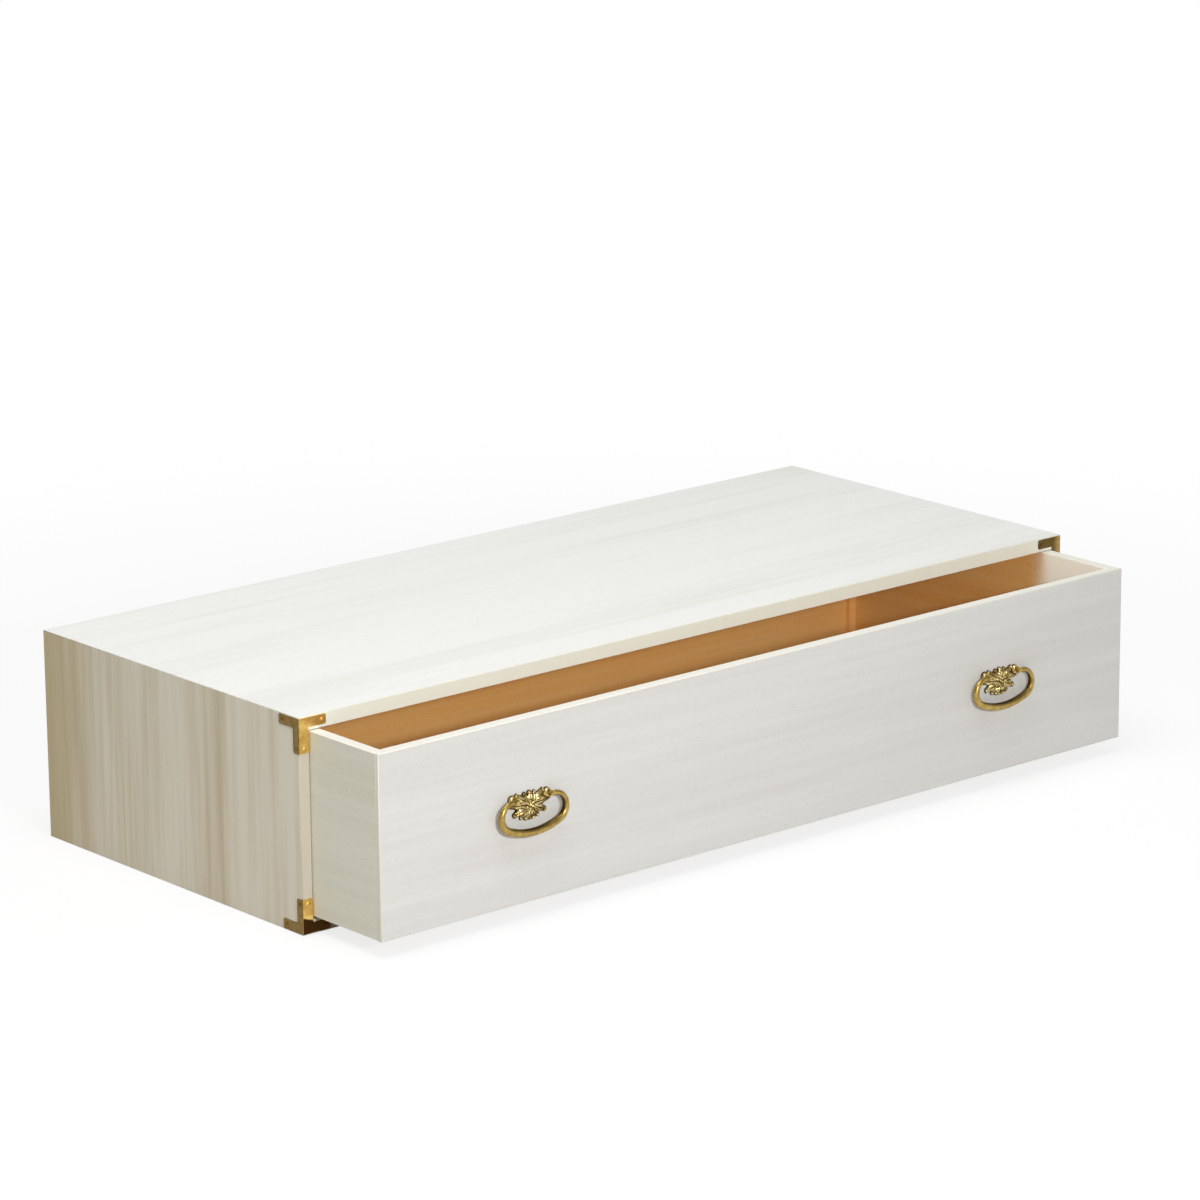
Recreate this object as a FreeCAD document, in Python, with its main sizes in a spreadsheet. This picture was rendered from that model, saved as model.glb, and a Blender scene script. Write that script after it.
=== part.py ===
# A long, low clothing chest of whitened paulownia wood with one full-width drawer.
# Mitred case, lapped and finger jointed drawer, brass corner fittings, and two
# cast drop handles whose bails swing in the eyes of split pins.
# Origin at the middle of the underside, +X to the right, +Y to the back, +Z up.
# The drawer is drawn open, by the length called drawer_open.
import FreeCAD, Part
import math
import os
import re
import Sketcher

V = FreeCAD.Vector
TOP = -1
BOTTOM = 1
LEFT = -1
RIGHT = 1

doc = FreeCAD.newDocument("ClothingChest")
sheet = doc.addObject("Spreadsheet::Sheet", "Sizes")

# Driving sizes in millimetres.
SIZES = {
    # case boards
    "case_width": 1000,
    "case_depth": 410,
    "case_height": 212,
    "shelf_board": 14,
    "side_board": 12,
    "back_board": 5,
    "back_lap": 6,
    "tongue_thickness": 3,
    "tongue_width": 9,
    # what the drawer runs on and stops against
    "runner_width": 20,
    "runner_height": 2.4,
    "runner_setback": 12,
    "stop_width": 32,
    "stop_height": 26,
    "stop_depth": 4.5,
    "stop_inset": 36,
    "stop_clearance": 0.3,
    # clearances round the drawer, and how far it stands open
    "drawer_side_gap": 0.5,
    "drawer_top_gap": 0.8,
    "drawer_under_gap": 0.2,
    "drawer_open": 102,
    # drawer boards
    "front_board": 12.5,
    "front_lip": 4,
    "drawer_board": 12,
    "rear_board": 10,
    "floor_board": 5,
    "floor_lift": 7,
    "groove_depth": 5,
    "finger_count": 5,
    "block_width": 9,
    "block_depth": 6,
    "block_top_inset": 10,
    # corner fittings of folded sheet
    "sheet_thickness": 0.8,
    "fold_radius": 0.7,
    "fitting_inset": 1.2,
    "fitting_drop": 34,
    "front_reach": 31.5,
    "front_strip": 11.4,
    "side_reach": 29,
    "side_strip": 7.6,
    "arm_width": 9.8,
    "arm_clip": 1.2,
    # studded nails of the fittings, with square shanks
    "nail_head_radius": 1.9,
    "nail_head_height": 1.1,
    "nail_half_width": 0.65,
    "nail_length": 4,
    "nail_clearance": 0.05,
    "nail_inset": 4.6,
    # square cut nails of the back panel
    "brad_head_half_width": 1.6,
    "brad_head_height": 0.7,
    "brad_half_width": 0.8,
    "brad_length": 13,
    "brad_margin": 60,
    # handles: place, split pins and square washers
    "handle_spacing": 620,
    "pivot_height": 104,
    "pivot_standoff": 7.8,
    "eye_spacing": 42,
    "strap_width": 4.2,
    "strap_thickness": 1.3,
    "strap_slit": 0.3,
    "strap_foot": 9,
    "slot_clearance": 0.1,
    "washer_half_width": 5.5,
    "washer_thickness": 0.8,
    # cast plate of each handle
    "plate_base": 1.4,
    "plate_drop": 5.5,
    "leaf_reach": 22,
    "leaf_height": 2.6,
    "leaf_rise": 0.7,
    "boss_radius": 4.4,
    "boss_height": 4.6,
    "petal_count": 6,
    "petal_length": 7.2,
    "petal_half_width": 2.1,
    "petal_height": 4.2,
    "button_radius": 2.4,
    "button_height": 5,
    # bails
    "bail_half_width": 39.2,
    "bail_drop": 33.1,
    "bail_end_radius": 14,
    "bail_thin_radius": 2.3,
    "bail_thick_radius": 3.9,
    "bail_pin_radius": 1.25,
    "bail_pin_clearance": 0.05,
    "bail_shoulder_gap": 0.3,
    # cutting overrun
    "cut_overrun": 2,
}
for row, (alias, value) in enumerate(SIZES.items(), 1):
    sheet.set(f"A{row}", alias)
    sheet.set(f"B{row}", str(value))
    sheet.setAlias(f"B{row}", alias)
doc.recompute()


def size(text):
    """The value of an expression in the sheet's named sizes."""
    return float(sheet.evalExpression(text))


def bound(text):
    """The same expression as seen from outside the sheet."""
    return re.sub(r"\b[a-z]+(?:_[a-z]+)+\b", r"Sizes.\g<0>", text)


def new_body(label, place=("0", "0", "0")):
    """An empty body with its label, at a place given as three expressions."""
    body = doc.addObject("PartDesign::Body", label)
    body.Label = label
    for axis, text in zip("xyz", place):
        body.setExpression(f"Placement.Base.{axis}", bound(text))
    return body


def origin_feature(body, role):
    """One of the body's own planes or axes."""
    return next(item for item in body.Origin.OriginFeatures if item.Role == role)


def new_sketch(body, role, name, lift="0"):
    """A sketch on one of the body's own planes, lifted along that plane's normal."""
    sketch = body.newObject("Sketcher::SketchObject", name)
    sketch.AttachmentSupport = [(origin_feature(body, role), "")]
    sketch.MapMode = "FlatFace"
    sketch.setExpression("AttachmentOffset.Base.z", bound(lift))
    return sketch


def raise_sketch(sketch, rise):
    """Move a sketch within its own plane, along its upright axis."""
    sketch.setExpression("AttachmentOffset.Base.y", bound(rise))


def pin_point(sketch, geometry, position, place):
    """Hold a point of the sketch at a pair of expressions."""
    for kind, text in zip(("DistanceX", "DistanceY"), place):
        constraint = Sketcher.Constraint(kind, -1, 1, geometry, position, size(text))
        index = sketch.addConstraint(constraint)
        sketch.setExpression(f"Constraints[{index}]", bound(text))


def draw_polygon(sketch, corners):
    """A closed outline of straight lines; each corner is a pair of expressions."""
    first = sketch.GeometryCount
    count = len(corners)
    places = [V(size(across), size(up), 0) for across, up in corners]
    for number in range(count):
        sketch.addGeometry(Part.LineSegment(places[number], places[(number + 1) % count]))
    for number, corner in enumerate(corners):
        following = first + (number + 1) % count
        sketch.addConstraint(Sketcher.Constraint("Coincident", first + number, 2, following, 1))
        pin_point(sketch, first + number, 1, corner)


def draw_rectangle(sketch, left, right, low, high):
    """A rectangle between four expressions."""
    draw_polygon(sketch, [(left, low), (right, low), (right, high), (left, high)])


def draw_circle(sketch, across, up, radius):
    """A circle whose centre and radius are expressions."""
    centre = V(size(across), size(up), 0)
    geometry = sketch.addGeometry(Part.Circle(centre, V(0, 0, 1), size(radius)))
    index = sketch.addConstraint(Sketcher.Constraint("Radius", geometry, size(radius)))
    sketch.setExpression(f"Constraints[{index}]", bound(radius))
    pin_point(sketch, geometry, 3, (across, up))


def draw_square(sketch, across, up, half_width):
    """An upright square about a middle; all three are expressions."""
    draw_rectangle(sketch, f"{across} - ({half_width})", f"{across} + {half_width}",
                   f"{up} - ({half_width})", f"{up} + {half_width}")


def draw_leaf(sketch, root, tip, half_width):
    """A pointed leaf of two arcs from root to tip; all three are named by expressions."""
    start = V(size(root[0]), size(root[1]), 0)
    end = V(size(tip[0]), size(tip[1]), 0)
    along = end - start
    across = V(-along.y, along.x, 0).normalize() * size(half_width)
    middle = (start + end) / 2
    length = f"hypot({tip[0]} - ({root[0]}); {tip[1]} - ({root[1]}))"
    radius = f"(({length}) ^ 2 / 4 + ({half_width}) ^ 2) / (2 * ({half_width}))"
    first = sketch.addGeometry(Part.Arc(start, middle - across, end))
    second = sketch.addGeometry(Part.Arc(end, middle + across, start))
    sketch.addConstraint(Sketcher.Constraint("Coincident", first, 2, second, 1))
    sketch.addConstraint(Sketcher.Constraint("Coincident", second, 2, first, 1))
    pin_point(sketch, first, 1, root)
    pin_point(sketch, first, 2, tip)
    for geometry in (first, second):
        index = sketch.addConstraint(Sketcher.Constraint("Radius", geometry, size(radius)))
        sketch.setExpression(f"Constraints[{index}]", bound(radius))


def pad(body, sketch, length, midplane=False, reverse=False):
    """Extrude a sketch."""
    feature = body.newObject("PartDesign::Pad", sketch.Name + "Pad")
    feature.Profile = sketch
    feature.Midplane = midplane
    feature.Reversed = reverse
    feature.setExpression("Length", bound(length))
    return feature


def pocket(body, sketch, depth, midplane=False, reverse=False):
    """Cut a sketch out of the body, and make sure that it does cut."""
    doc.recompute()
    before = body.Shape.Volume
    feature = body.newObject("PartDesign::Pocket", sketch.Name + "Cut")
    feature.Profile = sketch
    feature.Midplane = midplane
    feature.Reversed = reverse
    feature.setExpression("Length", bound(depth))
    doc.recompute()
    if not body.Shape.Volume < before:
        raise RuntimeError(f"{feature.Name} cuts nothing from {body.Label}")
    return feature


def repeat(body, feature, role, length, count):
    """Repeat a feature in a row along one of the body's own axes."""
    pattern = body.newObject("PartDesign::LinearPattern", feature.Name + "Row")
    pattern.Originals = [feature]
    pattern.Direction = (origin_feature(body, role), [""])
    pattern.setExpression("Length", bound(length))
    pattern.setExpression("Occurrences", bound(count))
    body.Tip = pattern
    return pattern


def place_shape(label, shape, place):
    """A piece whose shape is worked out here, at a place given as three expressions."""
    piece = doc.addObject("Part::Feature", label)
    piece.Label = label
    piece.Shape = shape
    piece.Placement = FreeCAD.Placement(V(*[size(text) for text in place]), FreeCAD.Rotation())
    return piece


# Places and sizes that several pieces share, as expressions in the named sizes.
INNER_HALF = "(case_width / 2 - side_board)"
DRAWER_HALF = "(case_width / 2 - side_board - drawer_side_gap)"
DRAWER_LIFT = "(shelf_board + runner_height + drawer_under_gap)"
DRAWER_HEIGHT = f"(case_height - shelf_board - drawer_top_gap - {DRAWER_LIFT})"
DRAWER_DEPTH = "(case_depth - back_board - stop_depth - stop_clearance)"
DRAWER_PLACE = ("0", "-case_depth / 2 - drawer_open", DRAWER_LIFT)
FINGER = f"({DRAWER_HEIGHT} / finger_count)"
PANEL_HALF = "(case_width / 2 - side_board + back_lap)"
PANEL_LOW = "(shelf_board - back_lap)"
PANEL_HIGH = "(case_height - shelf_board + back_lap)"
SLANT = "hypot(side_board; shelf_board)"
pieces = []


# Case: four boards mitred at the corners, each mitre held by a glued-in loose tongue.
def mitre_corner(side, end, inward):
    """A point on the mitre: 0 at the outer corner, 1 at the inner corner."""
    across = f"{side} * (case_width / 2 - {inward} * side_board)"
    if end == TOP:
        return across, f"case_height - {inward} * shelf_board"
    return across, f"{inward} * shelf_board"


def draw_tongue(sketch, side, end):
    """The tongue's section, square across the middle of the mitre."""
    middle = "(1 / 2)"
    across, up = mitre_corner(side, end, middle)
    corners = []
    for along_share, through_share in ((-1, -1), (1, -1), (1, 1), (-1, 1)):
        reach = f"{along_share} * tongue_width / 2 / {SLANT}"
        half = f"{through_share} * tongue_thickness / 2 / {SLANT}"
        corners.append((
            f"{across} + {side} * ({reach} * shelf_board + {half} * side_board)",
            f"{up} + {end} * ({reach} * side_board - {half} * shelf_board)",
        ))
    draw_polygon(sketch, corners)


def cut_tongue_groove(board, side, end):
    """The groove for one tongue, along the whole mitre."""
    name = f"Tongue{'L' if side == LEFT else 'R'}{'T' if end == TOP else 'B'}"
    sketch = new_sketch(board, "XZ_Plane", name)
    draw_tongue(sketch, side, end)
    pocket(board, sketch, "case_depth + cut_overrun", midplane=True)


def cut_back_rabbet(board):
    """The rabbet at the rear that the back panel lies in, flush with the rear edges."""
    sketch = new_sketch(board, "XZ_Plane", "BackRabbet", "back_board - case_depth / 2")
    draw_rectangle(sketch, f"-{PANEL_HALF}", PANEL_HALF, PANEL_LOW, PANEL_HIGH)
    pocket(board, sketch, "back_board + cut_overrun")


def cut_nail_holes(board, role, lift, places, depth, half_width, reverse=False):
    """Blind square holes for nails, sunk from one face."""
    sketch = new_sketch(board, role, "NailHoles", lift)
    for across, up in places:
        draw_square(sketch, across, up, f"{half_width} + nail_clearance")
    pocket(board, sketch, depth, reverse=reverse)


def brad_rows():
    """Nail places round the back panel: along each shelf board, and up each side board."""
    shelf_shares = (-3, -1, 1, 3)
    reach = f"({INNER_HALF} - brad_margin)"
    rows = {}
    for end in (TOP, BOTTOM):
        up = f"{PANEL_HIGH} - back_lap / 2" if end == TOP else f"{PANEL_LOW} + back_lap / 2"
        rows[end] = [(f"{share} / 3 * {reach}", up) for share in shelf_shares]
    side_shares = (-1, 1)
    for side in (LEFT, RIGHT):
        across = f"{side} * ({PANEL_HALF} - back_lap / 2)"
        rows["side", side] = [
            (across, f"case_height / 2 + {share} * (case_height / 2 - brad_margin)") for share in side_shares
        ]
    return rows


BACK_PINS = brad_rows()
BRAD_DEPTH = "(brad_length - back_board)"
NAIL_DEPTH = "(nail_length - sheet_thickness)"
ARM_MIDDLE = "(fitting_inset + arm_width / 2)"


def level(end, depth):
    """A height, counted from the top or from the underside of the case."""
    return f"case_height - {depth}" if end == TOP else depth


def shelf_board(label, end):
    """The top or bottom board, with mitred ends."""
    board = new_body(label)
    profile = new_sketch(board, "XZ_Plane", "Profile")
    draw_polygon(profile, [
        mitre_corner(LEFT, end, 0),
        mitre_corner(RIGHT, end, 0),
        mitre_corner(RIGHT, end, 1),
        mitre_corner(LEFT, end, 1),
    ])
    pad(board, profile, "case_depth", midplane=True)
    for side in (LEFT, RIGHT):
        cut_tongue_groove(board, side, end)
    cut_back_rabbet(board)
    front = [(f"{side} * (case_width / 2 - front_reach + nail_inset)", level(end, ARM_MIDDLE))
             for side in (LEFT, RIGHT)]
    cut_nail_holes(board, "XZ_Plane", "case_depth / 2", front, NAIL_DEPTH, "nail_half_width")
    cut_nail_holes(board, "XZ_Plane", "back_board - case_depth / 2", BACK_PINS[end],
                   BRAD_DEPTH, "brad_half_width", reverse=True)
    pieces.append(board)


def side_board(label, side):
    """A side panel, mitred at both ends, grain upright."""
    board = new_body(label)
    profile = new_sketch(board, "XZ_Plane", "Profile")
    draw_polygon(profile, [
        mitre_corner(side, BOTTOM, 0),
        mitre_corner(side, TOP, 0),
        mitre_corner(side, TOP, 1),
        mitre_corner(side, BOTTOM, 1),
    ])
    pad(board, profile, "case_depth", midplane=True)
    for end in (TOP, BOTTOM):
        cut_tongue_groove(board, side, end)
    cut_back_rabbet(board)
    strip = [(f"{side} * (case_width / 2 - front_strip / 2)",
              level(end, "(fitting_inset + fitting_drop - nail_inset)")) for end in (TOP, BOTTOM)]
    cut_nail_holes(board, "XZ_Plane", "case_depth / 2", strip, NAIL_DEPTH, "nail_half_width")
    cut_nail_holes(board, "XZ_Plane", "back_board - case_depth / 2", BACK_PINS["side", side],
                   BRAD_DEPTH, "brad_half_width", reverse=True)
    outer = []
    for end in (TOP, BOTTOM):
        outer.append(("-case_depth / 2 + side_reach - nail_inset", level(end, ARM_MIDDLE)))
        outer.append(("-case_depth / 2 + side_strip / 2",
                      level(end, "(fitting_inset + fitting_drop - nail_inset)")))
    cut_nail_holes(board, "YZ_Plane", f"{side} * case_width / 2", outer, NAIL_DEPTH,
                   "nail_half_width", reverse=side == LEFT)
    pieces.append(board)


def back_panel():
    """The thin back panel, let into the rabbets."""
    panel = new_body("case_back_panel")
    profile = new_sketch(panel, "XZ_Plane", "Profile", "-case_depth / 2")
    draw_rectangle(profile, f"-{PANEL_HALF}", PANEL_HALF, PANEL_LOW, PANEL_HIGH)
    pad(panel, profile, "back_board")
    holes = new_sketch(panel, "XZ_Plane", "PinHoles", "back_board - case_depth / 2")
    for row in BACK_PINS.values():
        for across, up in row:
            draw_square(holes, across, up, "brad_half_width + nail_clearance")
    pocket(panel, holes, "back_board + cut_overrun")
    pieces.append(panel)


def mitre_tongue(label, side, end):
    """A loose tongue, glued into the grooves of one mitre, in front of the back panel."""
    tongue = new_body(label)
    profile = new_sketch(tongue, "XZ_Plane", "Profile", "back_board - case_depth / 2")
    draw_tongue(profile, side, end)
    pad(tongue, profile, "case_depth - back_board")
    pieces.append(tongue)


def drawer_runner(label, side):
    """A thin hard slip that keeps the drawer's side off the bottom board."""
    runner = new_body(label)
    plan = new_sketch(runner, "XY_Plane", "Plan", "shelf_board")
    draw_rectangle(plan, f"{side} * {INNER_HALF}", f"{side} * ({INNER_HALF} - runner_width)",
                   "-case_depth / 2 + runner_setback", "case_depth / 2 - back_board")
    pad(runner, plan, "runner_height")
    pieces.append(runner)


def drawer_stop(label, side):
    """A block against the back panel that stops the drawer flush with the case."""
    stop = new_body(label)
    plan = new_sketch(stop, "XY_Plane", "Plan", "shelf_board")
    draw_rectangle(plan, f"{side} * ({INNER_HALF} - stop_inset)",
                   f"{side} * ({INNER_HALF} - stop_inset - stop_width)",
                   "case_depth / 2 - back_board - stop_depth", "case_depth / 2 - back_board")
    pad(stop, plan, "stop_height")
    pieces.append(stop)


shelf_board("case_top_board", TOP)
shelf_board("case_bottom_board", BOTTOM)
side_board("case_left_side", LEFT)
side_board("case_right_side", RIGHT)
back_panel()
CORNERS = {
    "top_left": (LEFT, TOP),
    "top_right": (RIGHT, TOP),
    "bottom_left": (LEFT, BOTTOM),
    "bottom_right": (RIGHT, BOTTOM),
}
for corner, (side, end) in CORNERS.items():
    mitre_tongue(f"{corner}_tongue", side, end)
drawer_runner("left_runner", LEFT)
drawer_runner("right_runner", RIGHT)
drawer_stop("left_drawer_stop", LEFT)
drawer_stop("right_drawer_stop", RIGHT)


# Nails: a round or square head on a square shank. Identical nails share one piece.
# The outline of a studded head, as shares of its radius and height, and its sides.
HEAD_SHARES = ((1, 0), (1, 0.3), (0.55, 1))
HEAD_SIDES = 8


def polygon_ring(centre, radial, upright, radius, sides):
    """A regular polygon about a centre, in the plane of two unit vectors."""
    turns = [2 * math.pi * (number + 0.5) / sides for number in range(sides)]
    corners = [centre + radial * (radius * math.cos(turn)) + upright * (radius * math.sin(turn))
               for turn in turns]
    return Part.makePolygon(corners + corners[:1])


def shank(half_width, length):
    """A square rod that hangs from the origin."""
    return Part.makeBox(2 * half_width, 2 * half_width, length, V(-half_width, -half_width, -length))


def stud_nail():
    """A low eight sided stud along +Z, with the underside of its head at the origin."""
    radius = size("nail_head_radius")
    height = size("nail_head_height")
    rings = [polygon_ring(V(0, 0, up * height), V(1, 0, 0), V(0, 1, 0), across * radius, HEAD_SIDES)
             for across, up in HEAD_SHARES]
    head = Part.makeLoft(rings, True, True)
    return head.fuse(shank(size("nail_half_width"), size("nail_length")))


def square_nail():
    """A square headed nail along +Z, with the underside of its head at the origin."""
    half = size("brad_head_half_width")
    head = Part.makeBox(2 * half, 2 * half, size("brad_head_height"), V(-half, -half, 0))
    return head.fuse(shank(size("brad_half_width"), size("brad_length")))


def placed_nail(nail, place, outward):
    """A copy of a nail with its head at a place, pointing outward."""
    copy = nail.copy()
    copy.Placement = FreeCAD.Placement(V(*[size(text) for text in place]), FreeCAD.Rotation(V(0, 0, 1), outward))
    return copy


def back_panel_nails():
    """Square nails round the back panel."""
    nail = square_nail()
    nails = [placed_nail(nail, (across, "0", up), V(0, 1, 0))
             for row in BACK_PINS.values() for across, up in row]
    pieces.append(place_shape("back_panel_nails", Part.makeCompound(nails), ("0", "case_depth / 2", "0")))


def corner_nails(label, side, end):
    """Four studded nails, one at the end of each arm of a fitting."""
    nail = stud_nail()
    arm = f"{end} * (arm_width / 2)"
    foot = f"{end} * (fitting_drop - nail_inset)"
    front = V(0, -1, 0)
    outward = V(side, 0, 0)
    places = [
        ((f"-{side} * (front_reach - nail_inset)", "-sheet_thickness", arm), front),
        ((f"-{side} * front_strip / 2", "-sheet_thickness", foot), front),
        ((f"{side} * sheet_thickness", "side_reach - nail_inset", arm), outward),
        ((f"{side} * sheet_thickness", "side_strip / 2", foot), outward),
    ]
    nails = [placed_nail(nail, place, direction) for place, direction in places]
    pieces.append(place_shape(label, Part.makeCompound(nails), fitting_place(side, end)))


# Corner fittings: sheet brass cut to two L shapes and folded round the front edge.
def fitting_place(side, end):
    """The case's front corner, a little in from its top or underside."""
    return f"{side} * case_width / 2", "-case_depth / 2", level(end, "fitting_inset")


def arm_outline(reach, strip):
    """An L with clipped ends, as distances inward from the fold and away from its end."""
    return [
        ("-sheet_thickness", "0"),
        (f"{reach} - arm_clip", "0"),
        (reach, "arm_clip"),
        (reach, "arm_width - arm_clip"),
        (f"{reach} - arm_clip", "arm_width"),
        (strip, "arm_width"),
        (strip, "fitting_drop - arm_clip"),
        (f"{strip} - arm_clip", "fitting_drop"),
        ("-sheet_thickness", "fitting_drop"),
    ]


def corner_fitting(label, side, end):
    """One folded fitting, pierced for its nails."""
    fitting = new_body(label, fitting_place(side, end))
    front = new_sketch(fitting, "XZ_Plane", "FrontLeg")
    draw_polygon(front, [(f"-{side} * ({inward})", f"{end} * ({away})")
                         for inward, away in arm_outline("front_reach", "front_strip")])
    pad(fitting, front, "sheet_thickness")
    flank = new_sketch(fitting, "YZ_Plane", "SideLeg")
    draw_polygon(flank, [(inward, f"{end} * ({away})")
                         for inward, away in arm_outline("side_reach", "side_strip")])
    leg = pad(fitting, flank, "sheet_thickness", reverse=side == LEFT)
    doc.recompute()
    fold = V(side * size("sheet_thickness"), -size("sheet_thickness"), 0)
    for number, edge in enumerate(leg.Shape.Edges, 1):
        spots = [vertex.Point - V(0, 0, vertex.Point.z) for vertex in edge.Vertexes]
        if len(spots) == 2 and all(spot.isEqual(fold, size("nail_clearance")) for spot in spots):
            fillet = fitting.newObject("PartDesign::Fillet", "Fold")
            fillet.Base = (leg, [f"Edge{number}"])
            fillet.setExpression("Radius", bound("fold_radius"))
    hole = "nail_half_width + nail_clearance"
    arm = f"{end} * arm_width / 2"
    foot = f"{end} * (fitting_drop - nail_inset)"
    front_holes = new_sketch(fitting, "XZ_Plane", "FrontHoles")
    draw_square(front_holes, f"-{side} * (front_reach - nail_inset)", arm, hole)
    draw_square(front_holes, f"-{side} * front_strip / 2", foot, hole)
    pocket(fitting, front_holes, "sheet_thickness + cut_overrun", reverse=True)
    side_holes = new_sketch(fitting, "YZ_Plane", "SideHoles")
    draw_square(side_holes, "side_reach - nail_inset", arm, hole)
    draw_square(side_holes, "side_strip / 2", foot, hole)
    pocket(fitting, side_holes, "sheet_thickness + cut_overrun", reverse=side == RIGHT)
    pieces.append(fitting)


back_panel_nails()
for corner, (side, end) in CORNERS.items():
    corner_fitting(f"{corner}_fitting", side, end)
    corner_nails(f"{corner}_nails", side, end)


# Drawer: the front laps the sides, and the sides and back are finger jointed.
def cut_floor_groove(board):
    """The groove that the drawer's bottom lies in."""
    groove = new_sketch(board, "XY_Plane", "FloorGroove", "floor_lift")
    draw_floor(groove)
    pocket(board, groove, "floor_board", reverse=True)


def draw_floor(sketch):
    """The plan of the drawer's bottom, let into all four boards."""
    half = f"({DRAWER_HALF} - drawer_board + groove_depth)"
    draw_rectangle(sketch, f"-{half}", half, "front_board - groove_depth",
                   f"{DRAWER_DEPTH} - rear_board + groove_depth")


# Half the height of a split pin's two straps with the slit between them.
STRAP_HALF = "(strap_thickness + strap_slit / 2)"


def draw_strap_slot(sketch, across, up):
    """The opening that a split pin passes through."""
    half_width = "(strap_width / 2 + slot_clearance)"
    half_height = f"({STRAP_HALF} + slot_clearance)"
    draw_rectangle(sketch, f"{across} - {half_width}", f"{across} + {half_width}",
                   f"{up} - {half_height}", f"{up} + {half_height}")


def drawer_front():
    """The front, rabbeted at both ends so that only a thin lip laps each side."""
    front = new_body("drawer_front", DRAWER_PLACE)
    plan = new_sketch(front, "XY_Plane", "Plan")
    shoulder = f"({DRAWER_HALF} - drawer_board)"
    draw_polygon(plan, [
        (f"-{DRAWER_HALF}", "0"),
        (DRAWER_HALF, "0"),
        (DRAWER_HALF, "front_lip"),
        (shoulder, "front_lip"),
        (shoulder, "front_board"),
        (f"-{shoulder}", "front_board"),
        (f"-{shoulder}", "front_lip"),
        (f"-{DRAWER_HALF}", "front_lip"),
    ])
    pad(front, plan, DRAWER_HEIGHT)
    cut_floor_groove(front)
    holes = new_sketch(front, "XZ_Plane", "PostHoles")
    for handle in (LEFT, RIGHT):
        for side in (LEFT, RIGHT):
            middle = f"({handle} * handle_spacing / 2 + {side} * eye_spacing / 2)"
            draw_strap_slot(holes, middle, "pivot_height")
    pocket(front, holes, "front_board + cut_overrun")
    pieces.append(front)


def drawer_side(label, side):
    """A drawer side, with finger slots at its rear end."""
    board = new_body(label, DRAWER_PLACE)
    plan = new_sketch(board, "XY_Plane", "Plan")
    draw_rectangle(plan, f"{side} * {DRAWER_HALF}", f"{side} * ({DRAWER_HALF} - drawer_board)",
                   "front_lip", DRAWER_DEPTH)
    pad(board, plan, DRAWER_HEIGHT)
    cut_floor_groove(board)
    slot = new_sketch(board, "YZ_Plane", "FingerSlot")
    draw_rectangle(slot, f"{DRAWER_DEPTH} - rear_board", f"{DRAWER_DEPTH} + cut_overrun", FINGER, f"2 * {FINGER}")
    cut = pocket(board, slot, "case_width", midplane=True)
    repeat(board, cut, "Z_Axis", f"2 * ((finger_count - 1) / 2 - 1) * {FINGER}", "(finger_count - 1) / 2")
    pieces.append(board)


def drawer_back():
    """The drawer's back, with fingers at both ends that fill the sides' slots."""
    board = new_body("drawer_back", DRAWER_PLACE)
    plan = new_sketch(board, "XY_Plane", "Plan")
    draw_rectangle(plan, f"-{DRAWER_HALF}", DRAWER_HALF, f"{DRAWER_DEPTH} - rear_board", DRAWER_DEPTH)
    pad(board, plan, DRAWER_HEIGHT)
    cut_floor_groove(board)
    notch = new_sketch(board, "XZ_Plane", "FingerNotch")
    for side in (LEFT, RIGHT):
        draw_rectangle(notch, f"{side} * ({DRAWER_HALF} - drawer_board)",
                       f"{side} * ({DRAWER_HALF} + cut_overrun)", "0", FINGER)
    cut = pocket(board, notch, "case_depth")
    repeat(board, cut, "Z_Axis", f"(finger_count - 1) * {FINGER}", "(finger_count + 1) / 2")
    pieces.append(board)


def drawer_floor():
    """The drawer's thin bottom."""
    board = new_body("drawer_bottom", DRAWER_PLACE)
    plan = new_sketch(board, "XY_Plane", "Plan", "floor_lift")
    draw_floor(plan)
    pad(board, plan, "floor_board")
    pieces.append(board)


def glue_block(label, side):
    """A strip glued upright into a rear corner of the drawer."""
    block = new_body(label, DRAWER_PLACE)
    plan = new_sketch(block, "XY_Plane", "Plan", "floor_lift + floor_board")
    inner = f"({DRAWER_HALF} - drawer_board)"
    draw_rectangle(plan, f"{side} * {inner}", f"{side} * ({inner} - block_width)",
                   f"{DRAWER_DEPTH} - rear_board - block_depth", f"{DRAWER_DEPTH} - rear_board")
    pad(block, plan, f"{DRAWER_HEIGHT} - floor_lift - floor_board - block_top_inset")
    pieces.append(block)


drawer_front()
drawer_side("drawer_left_side", LEFT)
drawer_side("drawer_right_side", RIGHT)
drawer_back()
drawer_floor()
glue_block("left_glue_block", LEFT)
glue_block("right_glue_block", RIGHT)


# Handles: a cast plate of leaves, two split pins clenched through the front, and a bail.
def handle_place(handle):
    """The middle of the pivot axis, on the drawer's face."""
    return f"{handle} * handle_spacing / 2", DRAWER_PLACE[1], f"{DRAWER_LIFT} + pivot_height"


# Leaves of the plate: angle from level in degrees, then length, half width and added
# height as shares of the leaf's named sizes. Those off the upright come in pairs.
LEAF_SHARES = (
    (90, 0.64, 0.2, 1),
    (61, 0.68, 0.17, 0),
    (34, 0.98, 0.2, 1),
    (6, 1.2, 0.23, 0),
    (-23, 1, 0.23, 1),
    (-49, 0.8, 0.21, 0),
    (-71, 0.72, 0.17, 1),
    (-90, 0.7, 0.17, 0),
)


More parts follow.
